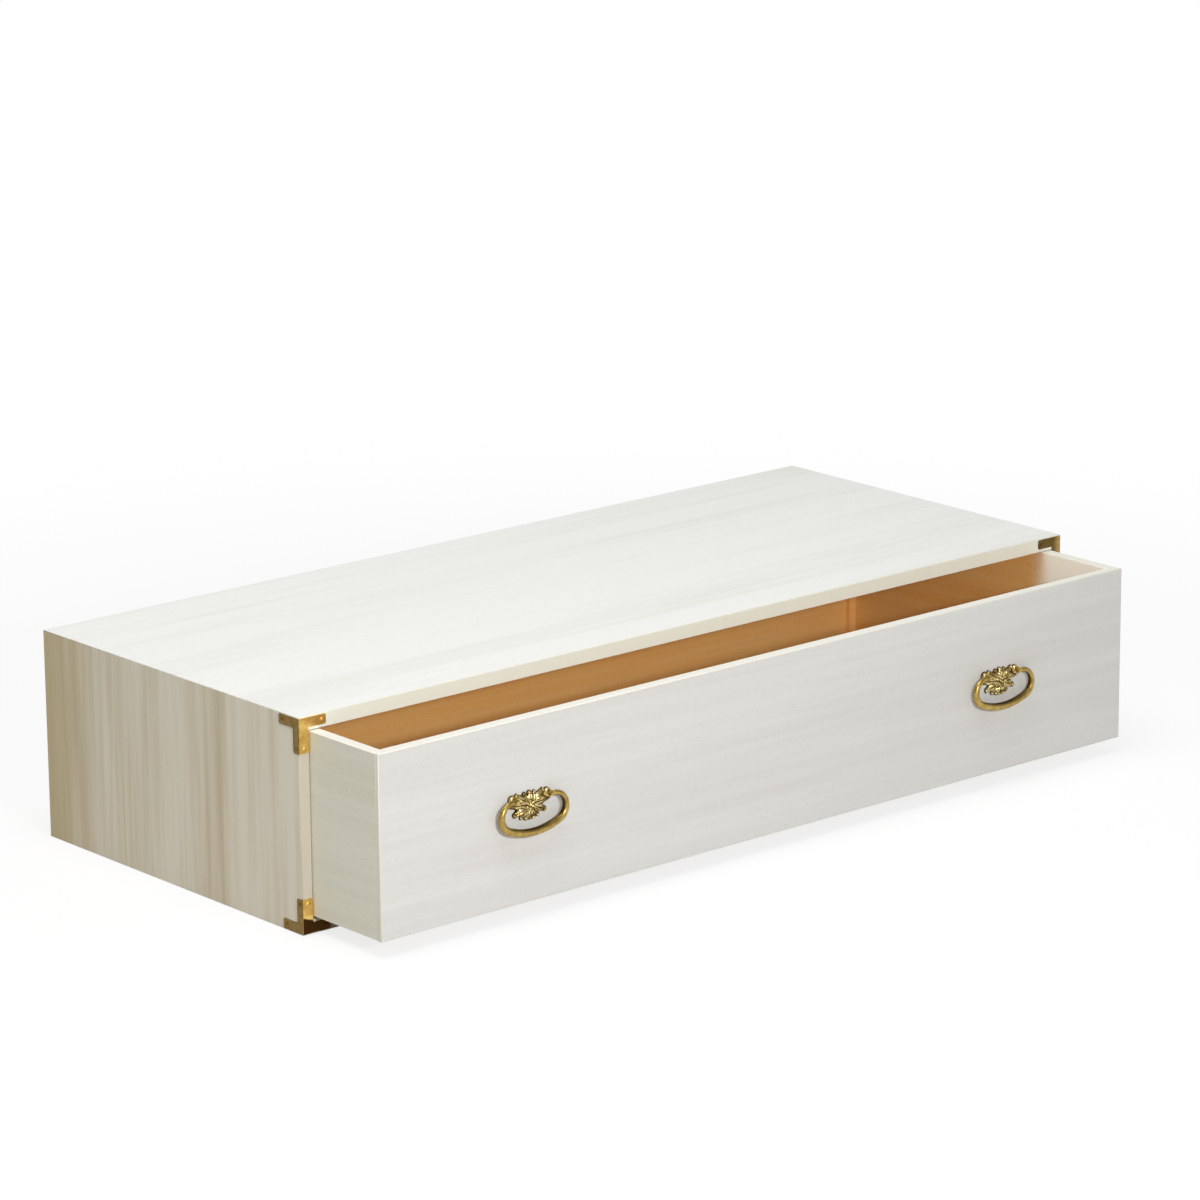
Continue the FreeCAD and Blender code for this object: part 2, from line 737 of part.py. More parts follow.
def handle_plate(label, handle):
    """The cast plate: a spray of leaves round a blossom, with a boss under each eye."""
    plate = new_body(label, handle_place(handle))
    heart = ("0", "-plate_drop")
    base = new_sketch(plate, "XZ_Plane", "Base")
    draw_leaf(base, ("-eye_spacing / 2 - boss_radius", "-plate_drop / 2"),
              ("eye_spacing / 2 + boss_radius", "-plate_drop / 2"), "boss_radius + plate_base")
    pad(plate, base, "plate_base")
    for number, (angle, length, width, rise) in enumerate(LEAF_SHARES):
        for turn in sorted({angle, 180 - angle}):
            if turn == 270:
                continue
            leaf = new_sketch(plate, "XZ_Plane", f"Leaf{number}At{turn % 360}")
            tip = (f"{length} * leaf_reach * cos({turn})",
                   f"-plate_drop + {length} * leaf_reach * sin({turn})")
            draw_leaf(leaf, heart, tip, f"{width} * leaf_reach")
            pad(plate, leaf, f"leaf_height + {rise} * leaf_rise")
    petal = new_sketch(plate, "XZ_Plane", "Petal")
    raise_sketch(petal, "-plate_drop")
    draw_leaf(petal, ("0", "0"), ("0", "petal_length"), "petal_half_width")
    first = pad(plate, petal, "petal_height")
    ring = plate.newObject("PartDesign::PolarPattern", "PetalRing")
    ring.Originals = [first]
    ring.Axis = (petal, ["N_Axis"])
    ring.setExpression("Occurrences", bound("petal_count"))
    plate.Tip = ring
    button = new_sketch(plate, "XZ_Plane", "Button")
    draw_circle(button, *heart, "button_radius")
    pad(plate, button, "button_height")
    bosses = new_sketch(plate, "XZ_Plane", "Bosses")
    slots = new_sketch(plate, "XZ_Plane", "StrapSlots")
    for side in (LEFT, RIGHT):
        draw_circle(bosses, f"{side} * eye_spacing / 2", "0", "boss_radius")
        draw_strap_slot(slots, f"{side} * eye_spacing / 2", "0")
    pad(plate, bosses, "boss_height")
    pocket(plate, slots, "button_height + cut_overrun", reverse=True)
    pieces.append(plate)


# The outer radius of the eye that a strap makes round a bail's tip.
EYE_RADIUS = "(bail_pin_radius + bail_pin_clearance + strap_thickness)"


def split_pin(label, handle, side):
    """A strap bent round the bail's tip, its two legs clenched inside the drawer front."""
    across, along, up = handle_place(handle)
    pin = new_body(label, (f"{across} + {side} * eye_spacing / 2", along, up))
    eye = new_sketch(pin, "YZ_Plane", "Eye")
    draw_circle(eye, "-pivot_standoff", "0", EYE_RADIUS)
    pad(pin, eye, "strap_width", midplane=True)
    inside = "front_board + washer_thickness"
    legs = new_sketch(pin, "YZ_Plane", "Legs")
    draw_rectangle(legs, "-pivot_standoff", inside, f"-{STRAP_HALF}", STRAP_HALF)
    pad(pin, legs, "strap_width", midplane=True)
    feet = new_sketch(pin, "YZ_Plane", "Feet")
    draw_rectangle(feet, inside, f"{inside} + strap_thickness", "-strap_foot", "strap_foot")
    pad(pin, feet, "strap_width", midplane=True)
    bore = new_sketch(pin, "YZ_Plane", "Bore")
    draw_circle(bore, "-pivot_standoff", "0", "bail_pin_radius + bail_pin_clearance")
    pocket(pin, bore, "strap_width + cut_overrun", midplane=True)
    slit = new_sketch(pin, "YZ_Plane", "Slit")
    draw_rectangle(slit, "-pivot_standoff", f"{inside} + strap_thickness + cut_overrun",
                   "-strap_slit / 2", "strap_slit / 2")
    pocket(pin, slit, "strap_width + cut_overrun", midplane=True)
    pieces.append(pin)


def washer_pair(label, handle):
    """Two square washers under the clenched legs."""
    pair = new_body(label, handle_place(handle))
    pair.AllowCompound = True
    plan = new_sketch(pair, "XZ_Plane", "Washers", "-front_board")
    for side in (LEFT, RIGHT):
        middle = f"{side} * eye_spacing / 2"
        draw_square(plan, middle, "0", "washer_half_width")
        draw_strap_slot(plan, middle, "0")
    pad(pair, plan, "washer_thickness", reverse=True)
    pieces.append(pair)


# The bail's middle line is two tight bends and one shallow arc below, each tangent to
# the next, and the rod swells with its depth below the pivots.
BEND_ACROSS = "(bail_half_width - bail_end_radius)"
BEND_RISE = "(bail_drop - bail_end_radius)"
SWEEP_RADIUS = (f"(({BEND_ACROSS} ^ 2 + {BEND_RISE} ^ 2 - bail_end_radius ^ 2)"
                f" / (2 * ({BEND_RISE} - bail_end_radius)))")
BAIL_SHOULDER = "(eye_spacing / 2 + strap_width / 2 + bail_shoulder_gap)"
BEND_STEPS = 9
SWEEP_STEPS = 6
BAIL_SIDES = 12


def bail_stations():
    """Centre, radius and turn of each section's arc, from the right pivot round to the left."""
    bend = size("bail_end_radius")
    across = size(BEND_ACROSS)
    sweep = size(SWEEP_RADIUS)
    lean = math.atan2(across, sweep - size(BEND_RISE))
    start, middle, end = math.pi / 2, -math.pi / 2, -3 * math.pi / 2
    stations = [(size(BAIL_SHOULDER), -bend, bend, start)]
    for step in range(BEND_STEPS + 1):
        turn = start + (middle + lean - start) * step / BEND_STEPS
        stations.append((across, -bend, bend, turn))
    for step in range(1, SWEEP_STEPS):
        turn = middle + lean - 2 * lean * step / SWEEP_STEPS
        stations.append((0, sweep - size("bail_drop"), sweep, turn))
    for step in range(BEND_STEPS + 1):
        turn = middle - lean + (end - middle + lean) * step / BEND_STEPS
        stations.append((-across, -bend, bend, turn))
    stations.append((-size(BAIL_SHOULDER), -bend, bend, end))
    return stations


def bail_shape():
    """The bent rod with a thin tip at each end, turned in towards the middle."""
    thin = size("bail_thin_radius")
    swell = size("bail_thick_radius") - thin
    sections = []
    for across, up, bend, turn in bail_stations():
        radial = V(math.cos(turn), 0, math.sin(turn))
        place = V(across, 0, up) + radial * bend
        radius = thin + swell * math.sqrt(max(0, -place.z / size("bail_drop")))
        sections.append(polygon_ring(place, radial, V(0, 1, 0), radius, BAIL_SIDES))
    rod = Part.makeLoft(sections, True, True)
    tip = size("strap_width + 2 * bail_shoulder_gap")
    for side in (LEFT, RIGHT):
        start = V(side * size(BAIL_SHOULDER), 0, 0)
        rod = rod.fuse(Part.makeCylinder(size("bail_pin_radius"), tip, start, V(-side, 0, 0)))
    return rod


bail = bail_shape()
for handle, name in ((LEFT, "left"), (RIGHT, "right")):
    handle_plate(f"{name}_handle_plate", handle)
    split_pin(f"{name}_handle_left_pin", handle, LEFT)
    split_pin(f"{name}_handle_right_pin", handle, RIGHT)
    washer_pair(f"{name}_handle_washers", handle)
    across, along, up = handle_place(handle)
    pieces.append(place_shape(f"{name}_bail", bail, (across, f"{along} - pivot_standoff", up)))

doc.recompute()
for item in doc.Objects:
    if {"Invalid", "Error"} & set(item.State):
        raise RuntimeError(f"{item.Name} did not build: {item.State}")
os.makedirs("parts", exist_ok=True)
for piece in pieces:
    if piece.Shape.isNull() or not piece.Shape.isValid() or not piece.Shape.Solids:
        raise RuntimeError(f"{piece.Label} has no sound shape")
for piece in pieces:
    piece.Shape.exportStep(f"parts/{piece.Label}.step")
print(len(pieces), "pieces written")
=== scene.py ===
import math

import bmesh
import bpy
from mathutils import Matrix, Vector


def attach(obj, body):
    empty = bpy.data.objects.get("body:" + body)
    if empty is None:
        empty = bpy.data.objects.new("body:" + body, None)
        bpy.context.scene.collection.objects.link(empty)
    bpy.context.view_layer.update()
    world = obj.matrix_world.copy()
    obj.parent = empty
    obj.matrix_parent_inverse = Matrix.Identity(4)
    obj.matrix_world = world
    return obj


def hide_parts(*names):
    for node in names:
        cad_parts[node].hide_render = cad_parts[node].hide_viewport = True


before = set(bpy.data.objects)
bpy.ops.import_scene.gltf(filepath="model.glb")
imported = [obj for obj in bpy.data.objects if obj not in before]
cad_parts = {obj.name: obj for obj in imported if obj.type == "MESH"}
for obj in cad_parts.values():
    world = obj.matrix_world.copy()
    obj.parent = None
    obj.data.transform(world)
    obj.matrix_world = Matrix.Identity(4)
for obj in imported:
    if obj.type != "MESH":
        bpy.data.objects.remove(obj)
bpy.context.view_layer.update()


# The four boards of the case: solid paulownia planed thin, mitred at the corners
# round a glued tongue, sanded smooth and rubbed with white clay powder.
class Tone:
    """A socket of a finish. Sums of tones add Math nodes; add() places any other node."""

    def __init__(self, tree, socket=None):
        self.tree = tree
        self.socket = socket

    def add(self, kind, settings, inputs, output=0):
        node = self.tree.nodes.new(f"ShaderNode{kind}")
        for name, setting in settings.items():
            setattr(node, name, setting)
        for name, entry in inputs.items():
            if isinstance(entry, Tone):
                self.tree.links.new(entry.socket, node.inputs[name])
            else:
                node.inputs[name].default_value = entry
        return Tone(self.tree, node.outputs[output])

    def sum(self, operation, *terms):
        return self.add("Math", {"operation": operation}, dict(enumerate(terms)))

    def __add__(self, other):
        return self.sum("ADD", self, other)

    __radd__ = __add__

    def __sub__(self, other):
        return self.sum("SUBTRACT", self, other)

    def __rsub__(self, other):
        return self.sum("SUBTRACT", other, self)

    def __mul__(self, other):
        return self.sum("MULTIPLY", self, other)

    __rmul__ = __mul__

    def __abs__(self):
        return self.sum("ABSOLUTE", self)

    def between(self, low, high):
        """0 below low and 1 above high, with a soft slope; falls where low is the larger."""
        slope = self.add("MapRange", {"interpolation_type": "SMOOTHSTEP"},
                         {"Value": self, "From Min": min(low, high), "From Max": max(low, high)})
        return slope if low < high else 1 - slope

    def blend(self, first, second):
        """One colour where this tone is 0 and another where it is 1."""
        share, under, over, mixed = 0, 6, 7, 2
        return self.add("Mix", {"data_type": "RGBA"}, {share: self, under: first, over: second}, mixed)


def ink(red, green, blue):
    """A colour as it reads on screen, from 0 to 255, made linear."""
    return tuple((part / 255 / 12.92 if part <= 10 else ((part / 255 + 0.055) / 1.055) ** 2.4)
                 for part in (red, green, blue)) + (1,)


def new_finish(name):
    """An empty material with its Principled shader, and a tone that places nodes in it."""
    finish = bpy.data.materials.new(name)
    finish.use_nodes = True
    finish.node_tree.nodes.clear()
    shader = finish.node_tree.nodes.new("ShaderNodeBsdfPrincipled")
    output = finish.node_tree.nodes.new("ShaderNodeOutputMaterial")
    finish.node_tree.links.new(shader.outputs[0], output.inputs[0])
    return finish, shader, Tone(finish.node_tree)


def connect(tone, shader, name):
    """Feeds a tone into one of a shader's sockets."""
    tone.tree.links.new(tone.socket, shader.inputs[name])


def own_place(tone):
    """Where a spot lies on the finished piece, in metres from the middle under the case."""
    return tone.add("TexCoord", {}, {}, "Object")


def measure(tone, place, axis):
    """How far that is to the right (X), to the back (Y) or up (Z)."""
    return tone.add("SeparateXYZ", {}, {"Vector": place}, axis)


def wood_figure(tone, along, shift):
    """Soft bands, growth rings, fine fibres and open pores that run along one axis of the board."""
    place = own_place(tone)

    def streaks(scale, detail, roughness, stretch):
        grain = [stretch if axis == along else 1 for axis in "XYZ"]
        spot = tone.add("Mapping", {}, {"Vector": place, "Location": shift, "Scale": grain})
        return tone.add("TexNoise", {}, {"Vector": spot, "Scale": scale, "Detail": detail,
                                         "Roughness": roughness, "Distortion": 0.15})

    bands = streaks(17, 3, 0.5, 0.06)
    rings = streaks(120, 4, 0.62, 0.03)
    fibres = streaks(700, 3, 0.6, 0.03)
    pores = streaks(3400, 1, 0.5, 0.06).between(0.62, 0.72)
    return bands, rings, fibres, pores


CASE_HALF = 0.5
CASE_FRONT = -0.205
CASE_TOP = 0.212
SHELF_BOARD = 0.014
SIDE_BOARD = 0.012
DUSTY_PORE = ink(172, 158, 132)
WOOD_SHEEN = 0.28


def whitened_wood(name, along, pale, deep, front_edge_light_and_shade, shift, warmth_and_shade=None):
    """Paulownia under white powder, its grain faint; front edges in a colour painting their light and
    shade, bare inside the case.
    """
    finish, shader, tone = new_finish(name)
    bands, rings, fibres, pores = wood_figure(tone, along, shift)
    depth = bands.between(0.34, 0.68) * 0.5 + rings.between(0.36, 0.66) * 0.32 + fibres * 0.18
    if warmth_and_shade:
        depth = depth + warmth_and_shade(tone)
    place = own_place(tone)
    across = abs(measure(tone, place, "X"))
    back, up = measure(tone, place, "Y"), measure(tone, place, "Z")
    # The front edge colour paints light on the top board and shade on the side and bottom boards.
    edge = back.between(CASE_FRONT + 0.0007, CASE_FRONT + 0.0003)
    colour = edge.blend(depth.between(0.12, 1.4).blend(pale, deep), front_edge_light_and_shade)
    powdered = (pores * 0.32).blend(colour, DUSTY_PORE)
    tan = depth.between(0.1, 0.9).blend(ink(232, 208, 166), ink(214, 184, 138))
    bare = (pores * 0.4).blend(tan, ink(150, 112, 70))
    inner_side, inner_top = CASE_HALF - SIDE_BOARD, CASE_TOP - SHELF_BOARD
    inside = across.between(inner_side + 0.0004, inner_side + 0.0001)
    inside = inside * back.between(CASE_FRONT + 0.0004, CASE_FRONT + 0.001)
    inside = inside * up.between(SHELF_BOARD - 0.0004, SHELF_BOARD - 0.0001)
    inside = inside * up.between(inner_top + 0.0004, inner_top + 0.0001)
    connect(inside.blend(powdered, bare), shader, "Base Color")
    connect(0.66 + 0.14 * rings - 0.1 * pores, shader, "Roughness")
    relief = rings * 0.4 + fibres * 0.35 - pores * 0.5
    bump = tone.add("Bump", {}, {"Height": relief, "Strength": 0.35, "Distance": 0.0002})
    connect(bump, shader, "Normal")
    shader.inputs["Specular IOR Level"].default_value = WOOD_SHEEN
    return finish


SAME_SPOT = 0.000005
FLAT_ENOUGH = math.radians(1)
SHARP = math.radians(30)


def copied_shape(node):
    """A CAD node's mesh as one closed skin, its flat faces joined up."""
    shape = bmesh.new()
    shape.from_mesh(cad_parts[node].data)
    bmesh.ops.remove_doubles(shape, verts=shape.verts, dist=SAME_SPOT)
    bmesh.ops.dissolve_limit(shape, angle_limit=FLAT_ENOUGH, verts=shape.verts, edges=shape.edges)
    return shape


def ease_edges(shape, width, shortest):
    """Rounds the long sharp edges, as sandpaper does; only the rounded strips shade smoothly."""
    for face in shape.faces:
        face.smooth = False
    edges = [edge for edge in shape.edges if edge.is_manifold and edge.calc_length() > shortest
             and edge.calc_face_angle(0) > SHARP]
    strips = bmesh.ops.bevel(shape, geom=edges, offset=width, offset_type="OFFSET", affect="EDGES",
                             segments=2, profile=0.5, material=-1, clamp_overlap=True)
    for face in strips["faces"]:
        face.smooth = True


def hand_over(name, shape, finish, body, slot, *nodes):
    """Makes the object, puts it on its body and lets it stand for its CAD nodes."""
    mesh = bpy.data.meshes.new(name)
    shape.to_mesh(mesh)
    shape.free()
    mesh.materials.append(finish)
    piece = bpy.data.objects.new(name, mesh)
    bpy.context.scene.collection.objects.link(piece)
    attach(piece, body)
    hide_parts(*nodes)


EASED_EDGE = 0.0007
SHORTEST_BOARD_EDGE = 0.1
PALE = ink(242, 243, 239)
PALE_DEEP = ink(230, 229, 222)
# The side boards' colours are partly the wood's own yellow and partly painted warm shade.
SIDE_PALE_WITH_SHADE = ink(235, 228, 211)
SIDE_DEEP_WITH_SHADE = ink(203, 187, 150)
STREAK_BACK = -0.093


def heart_streak_and_rear_shade(tone):
    """The warm band a hand's breadth behind the front edge, and painted shade growing darker and browner
    to the rear.
    """
    back = measure(tone, own_place(tone), "Y")
    streak = abs(back - STREAK_BACK).between(0.05, 0.008)
    # Painted shade: darker and browner towards the rear.
    rear = back.between(0.07, 0.21) * 0.42
    return streak * 0.19 + back.between(-0.2, 0.2) * 0.28 + rear - 0.1


# Painted light on the top board's front edge; painted shade on the side and bottom boards' front edges.
top_finish = whitened_wood("whitened_paulownia_lengthwise", "X", PALE, PALE_DEEP, ink(250, 251, 237),
                           (0.3, 0.1, 0.7))
side_finish = whitened_wood("whitened_paulownia_upright", "Z", SIDE_PALE_WITH_SHADE, SIDE_DEEP_WITH_SHADE, ink(204, 195, 178),
                            (0.9, 0.37, 0.2), heart_streak_and_rear_shade)
base_finish = whitened_wood("whitened_paulownia_underneath", "X", PALE, PALE_DEEP, ink(190, 180, 160),
                            (0.8, 0.4, 0.2))
for node, finish in (("case_top_board", top_finish), ("case_bottom_board", base_finish),
                     ("case_left_side", side_finish), ("case_right_side", side_finish)):
    board = copied_shape(node)
    ease_edges(board, EASED_EDGE, SHORTEST_BOARD_EDGE)
    hand_over(node.replace("case_", "planed_"), board, finish, "case", "whitened_paulownia", node)


# Inside and behind the case: a thin back panel of bare paulownia let into rabbets,
# hard slips that the drawer runs on, glued stops, and tongues in the mitres.
def bare_wood(name, along, pale, deep, shift):
    """Planed wood with no powder: warmer, with its pores open."""
    finish, shader, tone = new_finish(name)
    bands, rings, fibres, pores = wood_figure(tone, along, shift)
    depth = bands.between(0.3, 0.7) * 0.35 + rings.between(0.34, 0.68) * 0.45 + fibres * 0.2
    colour = depth.blend(pale, deep)
    pored = (pores * 0.5).blend(colour, ink(120, 84, 48))
    connect(pored, shader, "Base Color")
    connect(0.6 + 0.18 * rings, shader, "Roughness")
    relief = rings * 0.5 + fibres * 0.35 - pores * 0.6
    bump = tone.add("Bump", {}, {"Height": relief, "Strength": 0.45, "Distance": 0.00025})
    connect(bump, shader, "Normal")
    shader.inputs["Specular IOR Level"].default_value = 0.3
    return finish


def dress(node, finish):
    """Gives a CAD node that stays its finish."""
    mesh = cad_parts[node].data
    mesh.materials.clear()
    mesh.materials.append(finish)


back_finish = bare_wood("bare_paulownia_lengthwise", "X", ink(224, 196, 150), ink(198, 162, 112),
                        (0.1, 0.6, 0.4))
hard_finish = bare_wood("hard_oak_lengthwise", "Y", ink(186, 140, 92), ink(146, 100, 60), (0.4, 0.2, 0.1))
for node in ("case_back_panel", "left_drawer_stop", "right_drawer_stop"):
    dress(node, back_finish)
for node in ("left_runner", "right_runner", "top_left_tongue", "top_right_tongue", "bottom_left_tongue",
             "bottom_right_tongue"):
    dress(node, hard_finish)


# Square cut nails hold the back panel in its rabbets. They are black iron with the scale
# of the forge left on, brighter only where it rubbed off.
def iron(name, colour, worn):
    """Forged iron: dark scale with brighter rubbed places."""
    finish, shader, tone = new_finish(name)
    place = own_place(tone)
    mottle = tone.add("TexNoise", {}, {"Vector": place, "Scale": 700, "Detail": 4, "Roughness": 0.6})
    connect(mottle.between(0.35, 0.7).blend(colour, worn), shader, "Base Color")
    connect(0.35 + 0.3 * mottle, shader, "Roughness")
    bump = tone.add("Bump", {}, {"Height": mottle, "Strength": 0.4, "Distance": 0.0002})
    connect(bump, shader, "Normal")
    shader.inputs["Metallic"].default_value = 1
    return finish


dress("back_panel_nails", iron("struck_iron", ink(74, 72, 70), ink(140, 138, 134)))


# Corner fittings: sheet brass cut to two L shapes and folded round each front corner of
# the case, with four round headed nails in each. The fronts of the left ones are bright;
# the side legs, the feet under the drawer and the right ones carry painted shade.
SHEET_BRASS = 0.0008
FITTING_INSET = 0.0012
FITTING_DROP = 0.034
FRONT_REACH = 0.0315
FRONT_STRIP = 0.0114
SIDE_REACH = 0.029
SIDE_STRIP = 0.0076
ARM_WIDTH = 0.0098
# Brown patina in the plates' hollows; on fittings, nails and bails it paints shade.
BROWN_PATINA_AND_SHADE = ink(62, 38, 8)


def brass(name, bright, dull, patina_and_shade, polish):
    """Old gilt brass: soft blotches, fine specks, and brown from a mask: patina in hollows, painted shade
    elsewhere.
    """
    finish, shader, tone = new_finish(name)
    place = own_place(tone)
    blotch = tone.add("TexNoise", {}, {"Vector": place, "Scale": 160, "Detail": 4, "Roughness": 0.6})
    speck = tone.add("TexNoise", {}, {"Vector": place, "Scale": 1400, "Detail": 2, "Roughness": 0.5})
    rubbed = blotch.between(0.34, 0.66)
    colour = rubbed.blend(dull, bright)
    if patina_and_shade:
        colour = patina_and_shade(tone, place).blend(colour, BROWN_PATINA_AND_SHADE)
    connect(colour, shader, "Base Color")
    connect(polish + 0.2 * blotch - 0.1 * rubbed, shader, "Roughness")
    relief = blotch * 0.5 + speck * 0.25
    bump = tone.add("Bump", {}, {"Height": relief, "Strength": 0.3, "Distance": 0.0003})
    connect(bump, shader, "Normal")
    shader.inputs["Metallic"].default_value = 1
    return finish


def fitting_painted_shade(tone, place):
    """Painted shade on the side legs, on the foot of the lower fittings, and over the right ones."""
    side, up = measure(tone, place, "X"), measure(tone, place, "Z")
    across = abs(side)
    # Painted shade over the right ones, lighter at the fold as a painted highlight.
    right = side.between(0.45, 0.46) * (0.55 + 0.33 * side.between(CASE_HALF, CASE_HALF - 0.011))
    flank = across.between(CASE_HALF - 0.0001, CASE_HALF + 0.0003)
    # Painted shadow on the foot, its top rising like the shadow line under the drawer.
    lift = tone.sum("MAXIMUM", across - (CASE_HALF - 0.0115), 0) * 0.35
    foot = (up - lift).between(SHELF_BOARD, SHELF_BOARD - 0.0015) * (1 - flank)
    return tone.sum("MAXIMUM", tone.sum("MAXIMUM", flank * 0.8, foot), right)


fitting_finish = brass("folded_brass", ink(250, 219, 138), ink(228, 185, 96), fitting_painted_shade, 0.36)
CORNERS = ("top_left", "top_right", "bottom_left", "bottom_right")
FILED_EDGE = 0.00018
SHORTEST_BRASS_EDGE = 0.0009
for corner in CORNERS:
    fold = copied_shape(f"{corner}_fitting")
    ease_edges(fold, FILED_EDGE, SHORTEST_BRASS_EDGE)
    hand_over(f"{corner}_corner_brass", fold, fitting_finish, "case", "sheet_brass", f"{corner}_fitting")


# The nails carry the same painted shade as the fittings.
nail_finish = brass("nail_brass", ink(246, 200, 116), ink(222, 164, 80), fitting_painted_shade, 0.46)
HEAD_RADIUS = 0.0019
HEAD_HEIGHT = 0.0011
RIM_SINK = HEAD_RADIUS * 0.02
SHANK_WIDTH = 0.0013
SHANK_LENGTH = 0.004
NAIL_INSET = 0.0046


def round_nail(shape, place, outward):
    """A domed head on a square shank, pointing outward from a place on the brass."""
    turn = Vector((0, 0, 1)).rotation_difference(Vector(outward)).to_matrix().to_4x4()
    seat = Matrix.Translation(place) @ turn
    dome = bmesh.ops.create_uvsphere(shape, u_segments=20, v_segments=12, radius=HEAD_RADIUS)["verts"]
    for face in shape.faces:
        face.smooth = abs(face.normal.z) < 0.999 or face.calc_center_median().z > 0
    for vert in dome:
        vert.co.z = max(vert.co.z, -RIM_SINK)
    bmesh.ops.scale(shape, vec=(1, 1, HEAD_HEIGHT / HEAD_RADIUS), verts=dome)
    shank = bmesh.ops.create_cube(shape, size=1)["verts"]
    bmesh.ops.scale(shape, vec=(SHANK_WIDTH, SHANK_WIDTH, SHANK_LENGTH), verts=shank)
    bmesh.ops.translate(shape, vec=(0, 0, -SHANK_LENGTH / 2), verts=shank)
    bmesh.ops.transform(shape, matrix=seat, verts=dome + shank)


for corner in CORNERS:
    side = -1 if "left" in corner else 1
    end = -1 if "top" in corner else 1
    start = CASE_TOP - FITTING_INSET if "top" in corner else FITTING_INSET
    arm = start + end * ARM_WIDTH / 2
    foot = start + end * (FITTING_DROP - NAIL_INSET)
    ahead = CASE_FRONT - SHEET_BRASS
    beside = side * (CASE_HALF + SHEET_BRASS)
    nails = bmesh.new()
    round_nail(nails, (side * (CASE_HALF - FRONT_REACH + NAIL_INSET), ahead, arm), (0, -1, 0))
    round_nail(nails, (side * (CASE_HALF - FRONT_STRIP / 2), ahead, foot), (0, -1, 0))
    round_nail(nails, (beside, CASE_FRONT + SIDE_REACH - NAIL_INSET, arm), (side, 0, 0))
    round_nail(nails, (beside, CASE_FRONT + SIDE_STRIP / 2, foot), (side, 0, 0))
    bmesh.ops.remove_doubles(nails, verts=nails.verts, dist=0.000001)
    hand_over(f"{corner}_dome_nails", nails, nail_finish, "case", "nail_brass", f"{corner}_nails")


# The drawer: its front laps both sides, the sides and back are finger jointed, and the
# outside is whitened while the inside is left bare and tan, deepened to orange as painted
# shade, with painted light pale at the front of the inner sides.
DRAWER_HALF = 0.4875
INNER_HALF = 0.4755
INNER_FRONT = -0.2945
INNER_BACK = 0.0833
DRAWER_TOP = 0.1972


def drawer_wood(name, along, pale, deep, shift, pale_lit_front):
    """Whitened outside, top edges painted light; bare and tan within, its orange partly painted shade,
    pale front painted light.
    """
    finish, shader, tone = new_finish(name)
    bands, rings, fibres, pores = wood_figure(tone, along, shift)
    place = own_place(tone)
    across = abs(measure(tone, place, "X"))
    back, up = measure(tone, place, "Y"), measure(tone, place, "Z")
    within = across.between(INNER_HALF + 0.0003, INNER_HALF + 0.0001)
    within = within * back.between(INNER_FRONT - 0.0002, INNER_FRONT)
    within = within * back.between(INNER_BACK + 0.0003, INNER_BACK + 0.0001)
    within = within * up.between(DRAWER_TOP - 0.0005, DRAWER_TOP - 0.001)
    depth = bands.between(0.34, 0.68) * 0.5 + rings.between(0.36, 0.66) * 0.3 + fibres * 0.2
    outer = (pores * 0.3).blend(depth.blend(pale, deep), DUSTY_PORE)
    # Painted light: the top edges whiter, to read white in spite of the warm bounce from inside.
    outer = up.between(DRAWER_TOP - 0.001, DRAWER_TOP - 0.0005).blend(outer, ink(239, 236, 225))
    if pale_lit_front:
        # Painted light: the front of the inner sides is pale where the light falls in.
        outer = within.blend(outer, ink(254, 252, 238))
        within = within * (0.01 + 0.99 * back.between(-0.22, -0.182))
    else:
        lap_end = across.between(DRAWER_HALF - 0.0009, DRAWER_HALF - 0.0004)
        outer = lap_end.blend(outer, ink(234, 231, 217))
    # The tan is the bare wood's, deepened to orange as painted shade of the inside.
    tan = depth.blend(ink(255, 212, 139), ink(250, 187, 107))
    inner = (pores * 0.6).blend(tan, ink(194, 132, 70))
    connect(within.blend(outer, inner), shader, "Base Color")
    connect(0.64 + 0.15 * rings, shader, "Roughness")
    relief = rings * 0.4 + fibres * 0.35 - pores * 0.5
    bump = tone.add("Bump", {}, {"Height": relief, "Strength": 0.35, "Distance": 0.0002})
    connect(bump, shader, "Normal")
    shader.inputs["Specular IOR Level"].default_value = WOOD_SHEEN
    return finish


front_finish = drawer_wood("drawer_front_wood", "X", ink(228, 227, 224), ink(217, 215, 209),
                           (0.5, 0.2, 0.9), False)
drawer_side_finish = drawer_wood("drawer_side_wood", "Y", ink(236, 234, 219), ink(224, 220, 201),
                                 (0.2, 0.8, 0.3), True)
for node, finish, slot in (("drawer_front", front_finish, "whitened_paulownia"),
                           ("drawer_left_side", drawer_side_finish, "inner_paulownia"),
                           ("drawer_right_side", drawer_side_finish, "inner_paulownia"),
                           ("drawer_back", front_finish, "inner_paulownia")):
    board = copied_shape(node)
    ease_edges(board, EASED_EDGE, SHORTEST_BOARD_EDGE)
    hand_over(node.replace("drawer_", "jointed_"), board, finish, "drawer", slot, node)
dress("drawer_bottom", back_finish)
for node in ("left_glue_block", "right_glue_block"):
    dress(node, front_finish)


# Handle plates: lost wax castings of lobed leaves round a blossom, with a boss at each
# end for an eye. Rubbed bright on top, brown in the hollows, flat behind.
LEAF_REACH = 22
HEART_DROP = 8
PETALS = 6
BEADS = 12
EYE_ACROSS = 21
STRAP_SLOT = (4.4, 3.1, 16)
BOSS_STEPS = ((0, 4.6), (3.1, 4.6), (3.7, 4.3), (3.9, 3.6), (4.15, 3.2), (4.4, 2.6), (4.4, 0.9), (4.9, 0),
              (0, 0))
WAX_UNDERSIDE = -0.8
CAST_GRAIN = 0.32
